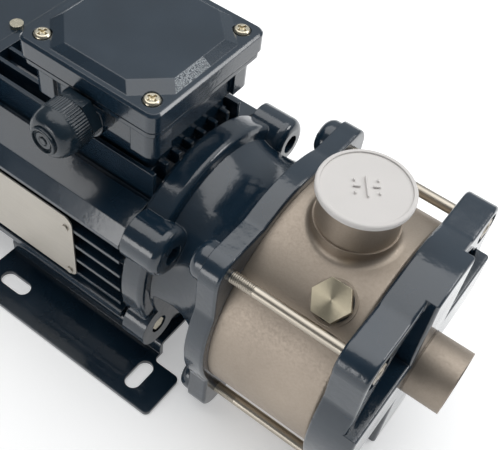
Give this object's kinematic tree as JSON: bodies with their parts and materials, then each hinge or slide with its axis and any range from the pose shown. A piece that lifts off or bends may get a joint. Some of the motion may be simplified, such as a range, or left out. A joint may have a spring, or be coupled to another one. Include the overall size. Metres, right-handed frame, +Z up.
{
  "type": "horizontal multistage pump",
  "caption": "Close-coupled horizontal multistage centrifugal pump with finned motor, folded base plate, tie-rod stainless barrel, top discharge port and axial suction nipple.",
  "frame": {"origin": "on the floor plane, midway between the two front foot slots", "axes": "+X along the shaft towards the suction nipple, +Z up through the discharge port, +Y completes the right-handed set"},
  "size_m": [0.3254, 0.1604, 0.1687],
  "materials": {
    "navy_paint": "glossy dark navy enamel",
    "blasted_steel": "bead-blasted stainless steel",
    "rod_steel": "drawn stainless steel",
    "zinc_steel": "zinc-plated steel",
    "plug_brass": "nickel-plated brass, pale",
    "cap_plastic": "white moulded polyethylene",
    "gland_plastic": "dark moulded polyamide",
    "plate_aluminium": "satin aluminium",
    "rubber_black": "matte",
    "machined_steel": "machined",
    "copper_wire": "enamelled copper",
    "lamination": "laminated electrical steel",
    "carbon": "carbon and ceramic",
    "fan_plastic": "moulded polypropylene"
  },
  "bodies": {
    "frame": {"barrel_o_ring": "rubber_black", "base_plate": "navy_paint", "bracket_bolts": "zinc_steel", "diffuser_1": "blasted_steel", "diffuser_2": "blasted_steel", "discharge_socket": "blasted_steel", "drain_plug": "plug_brass", "drain_plug_washer": "rubber_black", "fan_cover": "navy_paint", "fan_cover_screws": "zinc_steel", "foot_bolts": "zinc_steel", "front_bearing_outer": "machined_steel", "front_cover": "navy_paint", "gland_blank_plug": "gland_plastic", "gland_body": "gland_plastic", "gland_dome_nut": "gland_plastic", "inlet_plate": "blasted_steel", "lid_gasket": "rubber_black", "lid_screws": "zinc_steel", "motor_end_shield": "navy_paint", "motor_housing": "navy_paint", "nameplate": "plate_aluminium", "nameplate_rivets": "plate_aluminium", "preload_washer": "machined_steel", "pump_barrel": "blasted_steel", "pump_bracket": "navy_paint", "rear_bearing_outer": "machined_steel", "seal_plate": "blasted_steel", "seal_stationary_ring": "carbon", "shield_bolts": "zinc_steel", "stator_core": "lamination", "stator_windings": "copper_wire", "suction_nipple": "blasted_steel", "terminal_block": "carbon", "terminal_box_body": "navy_paint", "terminal_box_lid": "navy_paint", "terminal_studs": "plug_brass", "tie_rod_nuts": "rod_steel", "tie_rod_washers": "rod_steel", "tie_rods": "rod_steel"},
    "rotor": {"motor_shaft": "machined_steel", "rotor_core": "lamination", "cooling_fan": "fan_plastic", "front_bearing_inner": "machined_steel", "rear_bearing_inner": "machined_steel", "spacer_sleeve": "blasted_steel", "impeller_1": "blasted_steel", "impeller_2": "blasted_steel", "shaft_nut": "machined_steel", "seal_rotating_head": "carbon"},
    "discharge_cap": {"discharge_cap": "cap_plastic"},
    "vent_plug": {"vent_plug": "plug_brass", "vent_plug_washer": "rubber_black"}
  },
  "joints": [
    {"name": "rotor_spin", "type": "hinge", "parent": "frame", "child": "rotor", "pos_m": [0, 0, 0.064], "axis": [1, 0, 0], "continuous": true},
    {"name": "discharge_cap_lift", "type": "slide", "parent": "frame", "child": "discharge_cap", "axis": [0, 0, 1], "range_m": [0, 0.06]},
    {"name": "vent_plug_unscrew", "type": "slide", "parent": "frame", "child": "vent_plug", "axis": [0, -0.5446, 0.8387], "range_m": [0, 0.015]}
  ]
}
